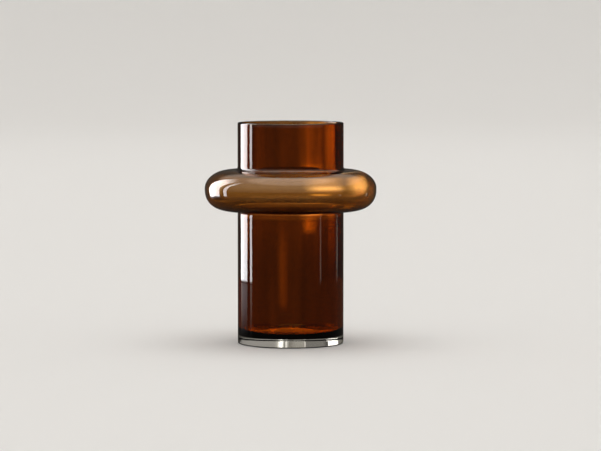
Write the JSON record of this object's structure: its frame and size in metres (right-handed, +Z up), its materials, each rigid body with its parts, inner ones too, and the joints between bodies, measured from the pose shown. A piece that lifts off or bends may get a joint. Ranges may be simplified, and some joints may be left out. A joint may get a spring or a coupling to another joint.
{
  "type": "ring vase",
  "caption": "Cased glass vase: a straight wide-mouthed tube with a hollow flattened ring above its middle, coloured lining, clear casing and a thick clear foot.",
  "frame": {"origin": "on the vase's axis, in the plane that its foot stands on", "axes": "+Z up along the axis, out of the mouth; the vase is round, so +X and +Y are any two level directions at right angles"},
  "size_m": [0.1474, 0.1474, 0.19],
  "materials": {
    "amber_glass": "transparent red-brown amber, polished, deeper where the glass is thicker",
    "casing_glass": "colourless, fire polished",
    "foot_glass": "colourless, polished side, ground flat underneath"
  },
  "bodies": {
    "root": {"amber_lining": "amber_glass", "clear_casing": "casing_glass", "clear_foot": "foot_glass"}
  },
  "joints": []
}
